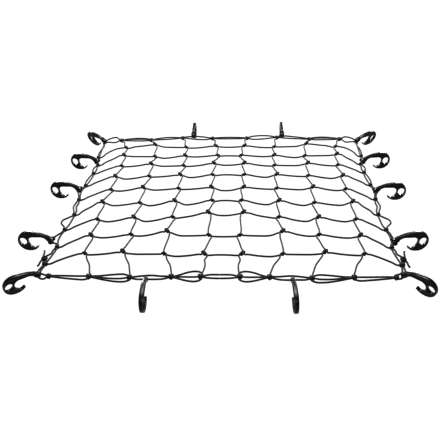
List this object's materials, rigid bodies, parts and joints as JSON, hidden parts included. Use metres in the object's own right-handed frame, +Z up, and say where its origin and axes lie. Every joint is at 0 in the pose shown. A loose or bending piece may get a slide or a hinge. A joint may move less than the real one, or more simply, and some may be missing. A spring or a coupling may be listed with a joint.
{
  "type": "cargo net",
  "caption": "Knotted elastic net with a doubled border and open hooks round it, to hold a load down on a roof rack, truck bed or trailer.",
  "frame": {"origin": "on the floor under the middle of the whole part, hooks included", "axes": "+X across the net to the right, -Y towards its front edge, +Z up"},
  "size_m": [1.374, 1.3602, 0.0742],
  "materials": {
    "elastic_cord": "braided polyester sheath over rubber, black",
    "hook_plastic": "moulded nylon, black, satin"
  },
  "bodies": {
    "root": {"net_mesh": "elastic_cord", "border_cord": "elastic_cord", "tie_knot_right": "elastic_cord", "tie_knot_left": "elastic_cord", "hook_front_right": "hook_plastic", "hook_front_left": "hook_plastic", "hook_corner_front_right": "hook_plastic", "hook_corner_front_left": "hook_plastic", "hook_right_1": "hook_plastic", "hook_right_2": "hook_plastic", "hook_right_3": "hook_plastic", "hook_left_1": "hook_plastic", "hook_left_2": "hook_plastic", "hook_left_3": "hook_plastic", "hook_corner_back_right": "hook_plastic", "hook_corner_back_left": "hook_plastic", "hook_back_right": "hook_plastic", "hook_back_left": "hook_plastic"}
  },
  "joints": []
}
